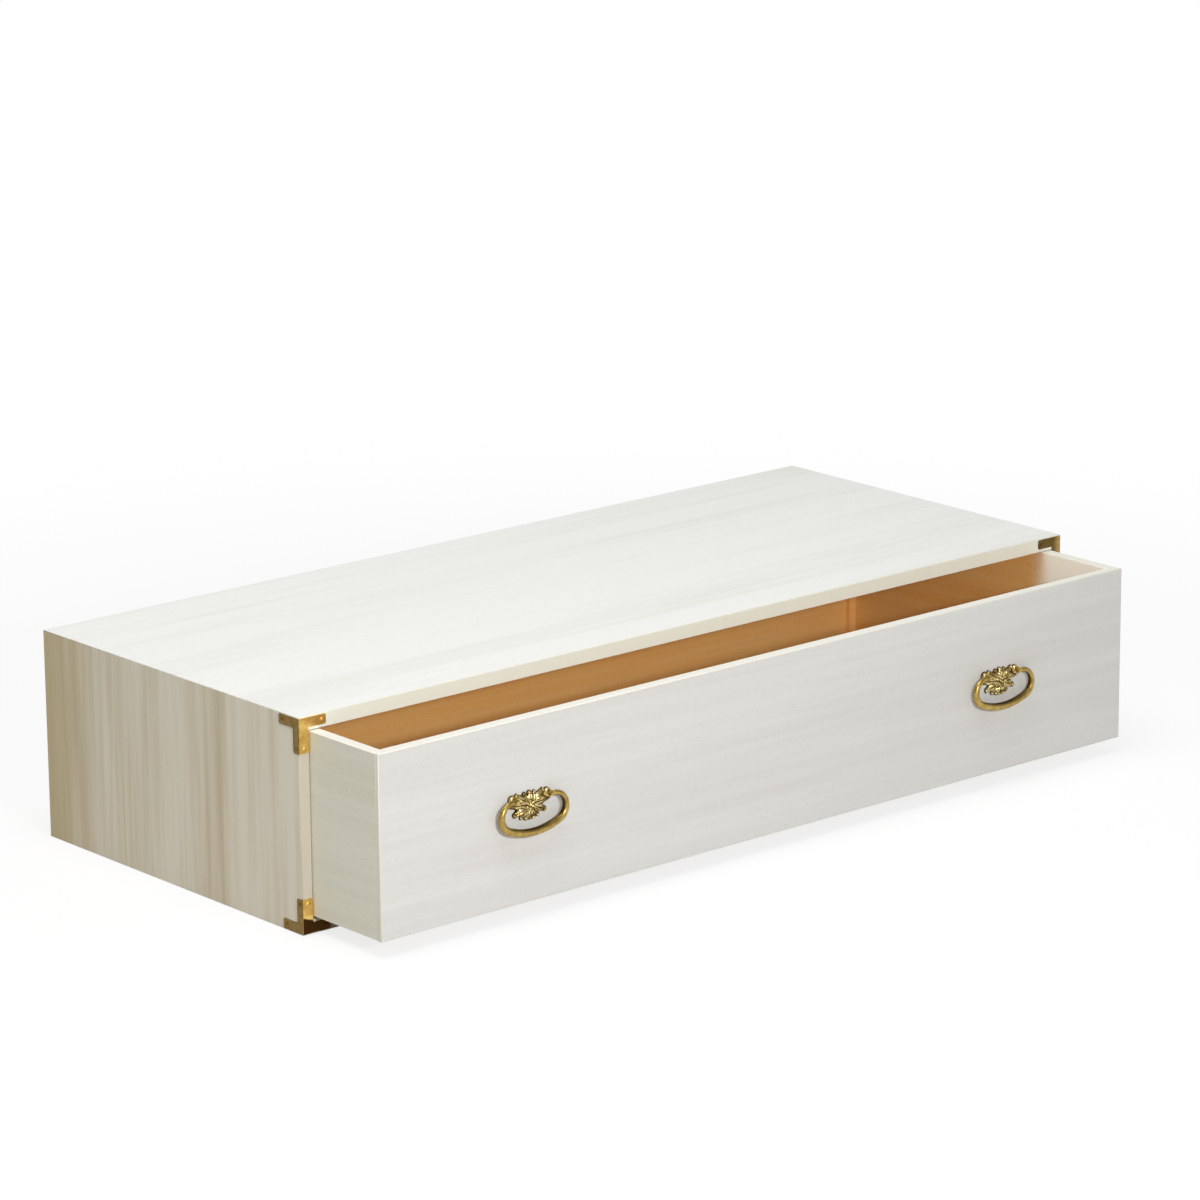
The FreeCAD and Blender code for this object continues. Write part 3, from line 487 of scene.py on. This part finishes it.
# The pattern is cut in millimetres, with up as +Y and out from the drawer as +Z. A leaf has
# its lean in degrees, its length and half width as shares of the reach, and 1 if raised.
PLATE_LEAVES = ((90, 0.64, 0.2, 1), (61, 0.68, 0.17, 0), (34, 0.98, 0.2, 1), (6, 1.2, 0.23, 0),
                (-23, 1.0, 0.23, 1), (-49, 0.8, 0.21, 0), (-71, 0.72, 0.17, 1), (-90, 0.7, 0.17, 0))


def press_on(wax, lump):
    """Adds a finished lump to the pattern."""
    scrap = bpy.data.meshes.new("lump")
    lump.to_mesh(scrap)
    lump.free()
    wax.from_mesh(scrap)
    bpy.data.meshes.remove(scrap)


def swelling(middle, size, turn=0, rings=12):
    """A domed lump of wax: a sphere squashed, turned and laid on the plate."""
    lump = bmesh.new()
    bmesh.ops.create_uvsphere(lump, u_segments=2 * rings, v_segments=rings, radius=1)
    seat = Matrix.Translation((middle[0], middle[1], 0)) @ Matrix.Rotation(turn, 4, "Z")
    bmesh.ops.transform(lump, matrix=seat @ Matrix.Diagonal((*size, 1)), verts=lump.verts)
    return lump


def wax_leaf(angle, length, half_width, height):
    """One leaf: a swelling drawn out from the heart, with scalloped sides, a midrib and a few veins."""
    leaf = bmesh.new()
    bmesh.ops.create_uvsphere(leaf, u_segments=56, v_segments=40, radius=1)
    for vert in leaf.verts:
        along = (vert.co.x + 1) / 2
        scallop = 1 + 0.15 * math.cos(math.tau * (2.2 * along - 0.1))
        across = vert.co.y * scallop * (1.18 - 0.42 * along)
        rise = max(vert.co.z, -0.12) * (0.72 + 0.4 * math.sin(math.pi * along ** 1.3))
        rib = math.exp(-(across / 0.12) ** 2) * min(1, 5 * (1 - along)) * min(1, 4 * along)
        vein = 0.5 + 0.5 * math.cos(math.tau * (3.1 * along - 0.8 * abs(across)))
        carve = 0.24 * rib + 0.17 * vein ** 2 * min(1, abs(across) * 3)
        vert.co = (along * length, across * half_width, (rise - carve * max(rise, 0)) * height)
    seat = Matrix.Translation((0, -HEART_DROP, 0)) @ Matrix.Rotation(angle, 4, "Z")
    bmesh.ops.transform(leaf, matrix=seat, verts=leaf.verts)
    return leaf


def eye_boss(middle):
    """The turned boss under an eye: a stepped profile spun round."""
    boss = bmesh.new()
    profile = [boss.verts.new((middle + out, 0, up)) for out, up in BOSS_STEPS]
    rim = [boss.edges.new(pair) for pair in zip(profile, profile[1:])]
    bmesh.ops.spin(boss, geom=profile + rim, cent=(middle, 0, 0), axis=(0, 0, 1), angle=math.tau,
                   steps=40, use_merge=True)
    bmesh.ops.remove_doubles(boss, verts=boss.verts, dist=0.0005)
    bmesh.ops.recalc_face_normals(boss, faces=boss.faces)
    return boss


def wax_plate():
    """The whole pattern: a low base, leaves with curled tips, the blossom and two beaded bosses."""
    wax = bmesh.new()
    press_on(wax, swelling((0, -HEART_DROP / 2), (25.6, 7, 1.6), rings=20))
    for angle, reach, width, raised in PLATE_LEAVES:
        for turn in sorted({angle, 180 - angle}):
            if turn == 270:
                continue
            lean = math.radians(turn)
            length = reach * LEAF_REACH
            press_on(wax, wax_leaf(lean, length * 0.97, width * LEAF_REACH * 1.08, 2.9 + 1.1 * raised))
            tip = length - 1.9
            curl = (tip * math.cos(lean), tip * math.sin(lean) - HEART_DROP)
            press_on(wax, swelling(curl, (1.9, 2.4 + 0.6 * raised, 2.5 + 0.9 * raised), lean))
    for petal in range(PETALS):
        lean = math.tau * (petal + 0.5) / PETALS
        bloom = swelling((4.7 * math.cos(lean), 4.7 * math.sin(lean) - HEART_DROP), (3.3, 2.8, 4.7), lean)
        for vert in bloom.verts:
            out = math.hypot(vert.co.x, vert.co.y + HEART_DROP)
            vert.co.z -= 1.2 * math.exp(-((out - 5.0) / 1.5) ** 2) if vert.co.z > 0 else 0
        press_on(wax, bloom)
    press_on(wax, swelling((0, -HEART_DROP), (2.4, 2.4, 4.95)))
    for hand in (-1, 1):
        press_on(wax, eye_boss(hand * EYE_ACROSS))
        for bead in range(BEADS):
            lean = math.tau * (bead + 0.5) / BEADS
            spot = (hand * EYE_ACROSS + 4.1 * math.cos(lean), 4.1 * math.sin(lean))
            press_on(wax, swelling(spot, (0.75, 0.75, 2.3), rings=8))
    for vert in wax.verts:
        vert.co.z = max(vert.co.z, WAX_UNDERSIDE)
    return wax


def finished(name, shape, *steps):
    """The shape after a list of modifiers, as a fresh bmesh."""
    mesh = bpy.data.meshes.new(name)
    shape.to_mesh(mesh)
    shape.free()
    blank = bpy.data.objects.new(name, mesh)
    bpy.context.scene.collection.objects.link(blank)
    for kind, settings in steps:
        step = blank.modifiers.new(kind, kind)
        for setting, amount in settings.items():
            setattr(step, setting, amount)
    bpy.context.view_layer.update()
    worked = blank.evaluated_get(bpy.context.evaluated_depsgraph_get())
    result = bmesh.new()
    result.from_mesh(bpy.data.meshes.new_from_object(worked))
    bpy.data.objects.remove(blank)
    return result


def cast_plate():
    """The pattern cast as one skin, filed flat behind, with the slots for the straps."""
    skin = finished("wax_pattern", wax_plate(), ("REMESH", {"mode": "VOXEL", "voxel_size": CAST_GRAIN}))
    bmesh.ops.smooth_vert(skin, verts=skin.verts, factor=0.5, use_axis_x=True, use_axis_y=True,
                          use_axis_z=True)
    bmesh.ops.bisect_plane(skin, geom=skin.verts[:] + skin.edges[:] + skin.faces[:], dist=0.0001,
                           plane_co=(0, 0, 0), plane_no=(0, 0, -1), clear_outer=True)
    rim = [edge for edge in skin.edges if edge.is_boundary]
    bmesh.ops.holes_fill(skin, edges=rim, sides=0)
    punch = bmesh.new()
    for hand in (-1, 1):
        slot = bmesh.ops.create_cube(punch, size=1)["verts"]
        bmesh.ops.scale(punch, vec=STRAP_SLOT, verts=slot)
        bmesh.ops.translate(punch, vec=(hand * EYE_ACROSS, 0, 0), verts=slot)
    punch_mesh = bpy.data.meshes.new("strap_punch")
    punch.to_mesh(punch_mesh)
    punch.free()
    cutter = bpy.data.objects.new("strap_punch", punch_mesh)
    bpy.context.scene.collection.objects.link(cutter)
    cast = finished("punched_plate", skin, ("BOOLEAN", {"operation": "DIFFERENCE", "object": cutter,
                                                        "solver": "EXACT"}))
    bpy.data.objects.remove(cutter)
    return cast


def mark_hollows(shape, name, reach):
    """Writes how deep each point lies below its neighbours, from 0 to 1, spread over a few rings."""
    layer = shape.verts.layers.float.new(name)
    shape.verts.ensure_lookup_table()
    shape.normal_update()
    sunk = []
    for vert in shape.verts:
        spots = [edge.other_vert(vert).co for edge in vert.link_edges]
        middle = sum(spots, Vector()) / len(spots)
        sunk.append((middle - vert.co).dot(vert.normal))
    rings = 4
    for _ in range(rings):
        around = [sum(sunk[edge.other_vert(vert).index] for edge in vert.link_edges)
                  / len(vert.link_edges) for vert in shape.verts]
        sunk = [0.4 * own + 0.6 * near for own, near in zip(sunk, around)]
    for vert in shape.verts:
        vert[layer] = min(1, max(0, 0.5 + sunk[vert.index] / reach))


DRAWER_FACE = -0.307


def brown_hollows(tone, place):
    """Brown in the hollows and low down near the drawer's face."""
    sunk = tone.add("Attribute", {"attribute_name": "hollow"}, {}, "Fac")
    low = measure(tone, place, "Y").between(DRAWER_FACE - 0.0028, DRAWER_FACE - 0.0012)
    return tone.sum("MAXIMUM", sunk.between(0.47, 0.66), low) * 0.92


plate_finish = brass("cast_leaf_brass", ink(244, 222, 160), ink(146, 122, 58), brown_hollows, 0.25)
HANDLES = (("left", -0.31), ("right", 0.31))
PIVOT_UP = 0.1206
MILLIMETRE = 0.001
master = cast_plate()
mark_hollows(master, "hollow", 0.05)
for face in master.faces:
    face.smooth = face.normal.z > -0.9
for handle, centre in HANDLES:
    plate = master.copy()
    seat = Matrix.Translation((centre, DRAWER_FACE, PIVOT_UP)) @ Matrix.Rotation(math.radians(90), 4, "X")
    bmesh.ops.transform(plate, matrix=seat @ Matrix.Scale(MILLIMETRE, 4), verts=plate.verts)
    hand_over(f"{handle}_leaf_plate", plate, plate_finish, "drawer", "cast_brass",
              f"{handle}_handle_plate")
master.free()


# Split pins and washers: a brass strap bent double round each tip of the bail, driven
# through plate and drawer front, and clenched inside over a square steel washer.
strap_finish = brass("bent_strap_brass", ink(218, 192, 112), ink(160, 134, 66), None, 0.28)
washer_finish = iron("washer_steel", ink(128, 128, 126), ink(176, 176, 172))
STRAP_EDGE = 0.0002
for handle in ("left", "right"):
    dress(f"{handle}_handle_washers", washer_finish)
    for side in ("left", "right"):
        pin = copied_shape(f"{handle}_handle_{side}_pin")
        ease_edges(pin, STRAP_EDGE, SHORTEST_BRASS_EDGE)
        hand_over(f"{handle}_handle_{side}_strap", pin, strap_finish, "drawer", "cast_brass",
                  f"{handle}_handle_{side}_pin")


# Bails: a brass rod forged thick in the middle and thin at the ends, bent to a flat oval
# whose turned in tips swing in the eyes. The rod's inner side carries painted dark shade.
BAIL_HALF = 0.0392
BAIL_DROP = 0.0331
BAIL_BEND = 0.014
BAIL_THIN = 0.0023
BAIL_THICK = 0.0039
BAIL_TIP = 0.00125
TIP_LENGTH = 0.0048
SHOULDER = 0.0234
PIVOT_FORWARD = -0.3148
RING_MIDDLE = 0.013


def bail_line():
    """Points of the middle line and the rod's radius there, from the right tip to the left one."""
    rise = BAIL_DROP - BAIL_BEND
    across = BAIL_HALF - BAIL_BEND
    sweep = (across ** 2 + rise ** 2 - BAIL_BEND ** 2) / (2 * (rise - BAIL_BEND))
    lean = math.atan2(across, sweep - rise)
    spots = [(SHOULDER, 0)]
    arcs = [(across, -BAIL_BEND, BAIL_BEND, math.pi / 2, lean - math.pi / 2, 26),
            (0, sweep - BAIL_DROP, sweep, lean - math.pi / 2, -lean - math.pi / 2, 44),
            (-across, -BAIL_BEND, BAIL_BEND, -lean - math.pi / 2, -1.5 * math.pi, 26)]
    for middle, up, radius, start, end, steps in arcs:
        for step in range(steps):
            turn = start + (end - start) * step / steps
            spots.append((middle + radius * math.cos(turn), up + radius * math.sin(turn)))
    spots += [(-across, 0), (-SHOULDER, 0)]
    swell = BAIL_THICK - BAIL_THIN
    rod = [(across, up, BAIL_THIN + swell * math.sqrt(max(0, -up / BAIL_DROP))) for across, up in spots]
    tip = [(SHOULDER - TIP_LENGTH, 0, BAIL_TIP - 0.00035), (SHOULDER - TIP_LENGTH + 0.0003, 0, BAIL_TIP),
           (SHOULDER - 0.0002, 0, BAIL_TIP), (SHOULDER - 0.0001, 0, BAIL_THIN - 0.0004)]
    return tip + rod + [(-across, up, radius) for across, up, radius in reversed(tip)]


def bail_inner_shade(tone, place):
    """Painted shade: the side of the rod towards the plate is darkened."""
    return tone.add("Attribute", {"attribute_name": "inward"}, {}, "Fac").between(0.15, 0.9) * 0.92


# The bail's inner side is painted shade.
bail_finish = brass("forged_bail_brass", ink(190, 162, 92), ink(156, 130, 70), bail_inner_shade, 0.3)
for handle, centre in HANDLES:
    guide = bpy.data.curves.new(f"{handle}_bail_line", "CURVE")
    guide.dimensions = "3D"
    guide.bevel_depth = 1
    guide.bevel_resolution = 8
    guide.use_fill_caps = True
    line = guide.splines.new("POLY")
    route = bail_line()
    line.points.add(len(route) - 1)
    for point, (across, up, radius) in zip(line.points, route):
        point.co = (centre + across, PIVOT_FORWARD, PIVOT_UP + up, 1)
        point.radius = radius
    guide_object = bpy.data.objects.new(f"{handle}_bail_line", guide)
    rod = bmesh.new()
    rod.from_mesh(bpy.data.meshes.new_from_object(guide_object))
    bpy.data.objects.remove(guide_object)
    bmesh.ops.remove_doubles(rod, verts=rod.verts, dist=SAME_SPOT * 0.4)
    bmesh.ops.recalc_face_normals(rod, faces=rod.faces)
    inward = rod.verts.layers.float.new("inward")
    middle = Vector((centre, PIVOT_FORWARD, PIVOT_UP - RING_MIDDLE))
    for vert in rod.verts:
        vert[inward] = max(0, vert.normal.dot((middle - vert.co).normalized()))
    for face in rod.faces:
        face.smooth = len(face.verts) < 5
    hand_over(f"{handle}_drop_bail", rod, bail_finish, f"{handle}_bail", "cast_brass", f"{handle}_bail")


# The studio: a white paper floor, one large soft lamp overhead and a little to the front
# left, a small weak one low in front on the left, and an even pale surround that looks
# white near the horizon.
def watched_by(tone):
    """1 where the camera looks, also by way of metal or glass, and 0 for what lights the chest."""
    straight, mirrored, through = (tone.add("LightPath", {}, {}, f"Is {kind} Ray")
                                   for kind in ("Camera", "Glossy", "Transmission"))
    return tone.sum("MINIMUM", straight + mirrored + through, 1)


paper, paper_shader, tone = new_finish("white_paper_floor")
place = own_place(tone)
watched = watched_by(tone)
weave = tone.add("TexNoise", {}, {"Vector": place, "Scale": 900, "Detail": 2})
shaded = weave.blend(ink(194, 193, 190), ink(198, 197, 194))
connect(watched.blend(shaded, ink(250, 250, 249)), paper_shader, "Base Color")
paper_shader.inputs["Roughness"].default_value = 0.9
paper_shader.inputs["Specular IOR Level"].default_value = 0.1
# To the camera the paper glows white, more so far out, and hardly at all under the chest.
spread = tone.add("VectorMath", {"operation": "LENGTH"}, {0: place}, "Value")
glow = tone.add("Emission", {}, {"Color": (1, 1, 1, 1), "Strength": 1.0})
across, back = abs(measure(tone, place, "X")), measure(tone, place, "Y")
beneath = across.between(0.494, 0.478) * back.between(-0.208, -0.2) * back.between(0.21, 0.19)
share = watched * (0.8 + 0.2 * spread.between(0.7, 1.6)) * (1 - 0.9 * beneath)
mixed = tone.add("MixShader", {}, {0: share, 1: Tone(tone.tree, paper_shader.outputs[0]), 2: glow})
sheet_output = next(node for node in tone.tree.nodes if node.type == "OUTPUT_MATERIAL")
tone.tree.links.new(mixed.socket, sheet_output.inputs[0])
FLOOR_REACH = 30
ground = bmesh.new()
bmesh.ops.create_grid(ground, x_segments=4, y_segments=4, size=FLOOR_REACH)
ground_mesh = bpy.data.meshes.new("studio_floor")
ground.to_mesh(ground_mesh)
ground.free()
ground_mesh.materials.append(paper)
floor = bpy.data.objects.new("studio_floor", ground_mesh)
bpy.context.scene.collection.objects.link(floor)


def softbox(name, place, target, width, height, power):
    """A flat lamp that faces a point."""
    lamp = bpy.data.lights.new(name, "AREA")
    lamp.shape = "RECTANGLE"
    lamp.size = width
    lamp.size_y = height
    lamp.energy = power
    holder = bpy.data.objects.new(name, lamp)
    holder.location = place
    holder.rotation_euler = (Vector(target) - Vector(place)).to_track_quat("-Z", "Y").to_euler()
    bpy.context.scene.collection.objects.link(holder)


softbox("key_lamp", (-0.9, -0.4, 3.8), (0, -0.05, 0.1), 2.4, 2.4, 84)
softbox("fill_lamp", (-1.0, -2.5, 1.044), (0, -0.1, 0.12), 0.4, 0.1, 31.5)
world = bpy.data.worlds.new("pale_surround")
world.use_nodes = True
surround = world.node_tree.nodes["Background"]
surround.inputs["Color"].default_value = (1, 1, 1, 1)
SURROUND_LIGHT = 0.36
tone = Tone(world.node_tree)
height = measure(tone, tone.add("TexCoord", {}, {}), "Z")
horizon = watched_by(tone) * height.between(0.3, 0.12)
connect(SURROUND_LIGHT + (1 - SURROUND_LIGHT) * horizon, surround, "Strength")
bpy.context.scene.world = world
bpy.context.scene.view_settings.view_transform = "Standard"


# The camera stands where the picture was taken from, above and to the left of the front,
# as fitted to the corners of the case. Its lens is long, so the boards hardly taper.
AZIMUTH = math.radians(-40.62468621)
ELEVATION = math.radians(15.24158237)
ROLL = math.radians(-0.467522)
STAND = (-3.25808395, -3.84874504, 1.56526997)
backward = Vector((math.sin(AZIMUTH) * math.cos(ELEVATION), -math.cos(AZIMUTH) * math.cos(ELEVATION),
                   math.sin(ELEVATION)))
level_right = (-backward).cross(Vector((0, 0, 1))).normalized()
level_up = level_right.cross(-backward)
right = level_right * math.cos(ROLL) + level_up * math.sin(ROLL)
upward = level_up * math.cos(ROLL) - level_right * math.sin(ROLL)
camera = bpy.data.objects.new("camera", bpy.data.cameras.new("camera"))
camera.data.sensor_width = 36
camera.data.lens = 154.8287
camera.data.clip_end = 100
view = Matrix((right, upward, backward)).transposed().to_4x4()
view.translation = STAND
camera.matrix_world = view
bpy.context.scene.collection.objects.link(camera)
bpy.context.scene.camera = camera
